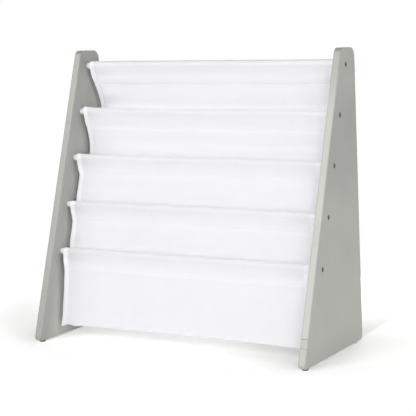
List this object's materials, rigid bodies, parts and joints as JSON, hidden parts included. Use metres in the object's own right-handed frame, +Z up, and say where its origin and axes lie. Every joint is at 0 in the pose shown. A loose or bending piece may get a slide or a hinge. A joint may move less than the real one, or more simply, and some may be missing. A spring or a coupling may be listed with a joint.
{
  "type": "sling bookshelf",
  "caption": "Low child's bookshelf: cloth strip hung in a zig-zag over level rods between leaning side panels, making open book pockets.",
  "frame": {"origin": "on the floor, under the middle of the two side panels", "axes": "+X across the width, along the rods; +Y to the back, away from the person who takes a book; +Z up"},
  "size_m": [0.615, 0.296, 0.603],
  "materials": {
    "painted_board": "satin",
    "coated_rod": "satin",
    "rod_plug": "matte",
    "bronzed_screw": "satin",
    "glide": "matte",
    "pale_glide": "matte",
    "white_cloth": "matte"
  },
  "bodies": {
    "root": {"left_side_panel": "painted_board", "right_side_panel": "painted_board", "glide_left_front": "glide", "glide_left_back": "pale_glide", "glide_right_front": "glide", "glide_right_back": "pale_glide", "rod_1": "coated_rod", "rod_2": "coated_rod", "rod_3": "coated_rod", "rod_4": "coated_rod", "rod_5": "coated_rod", "rod_plug_left_1": "rod_plug", "rod_plug_left_2": "rod_plug", "rod_plug_left_3": "rod_plug", "rod_plug_left_4": "rod_plug", "rod_plug_left_5": "rod_plug", "rod_plug_right_1": "rod_plug", "rod_plug_right_2": "rod_plug", "rod_plug_right_3": "rod_plug", "rod_plug_right_4": "rod_plug", "rod_plug_right_5": "rod_plug", "screw_left_1": "bronzed_screw", "screw_left_2": "bronzed_screw", "screw_left_3": "bronzed_screw", "screw_left_4": "bronzed_screw", "screw_left_5": "bronzed_screw", "screw_right_1": "bronzed_screw", "screw_right_2": "bronzed_screw", "screw_right_3": "bronzed_screw", "screw_right_4": "bronzed_screw", "screw_right_5": "bronzed_screw", "sling_sleeve_1": "white_cloth", "sling_sleeve_2": "white_cloth", "sling_sleeve_3": "white_cloth", "sling_sleeve_4": "white_cloth", "sling_sleeve_5": "white_cloth", "sling_pocket_1": "white_cloth", "sling_pocket_2": "white_cloth", "sling_pocket_3": "white_cloth", "sling_pocket_4": "white_cloth"}
  },
  "joints": []
}
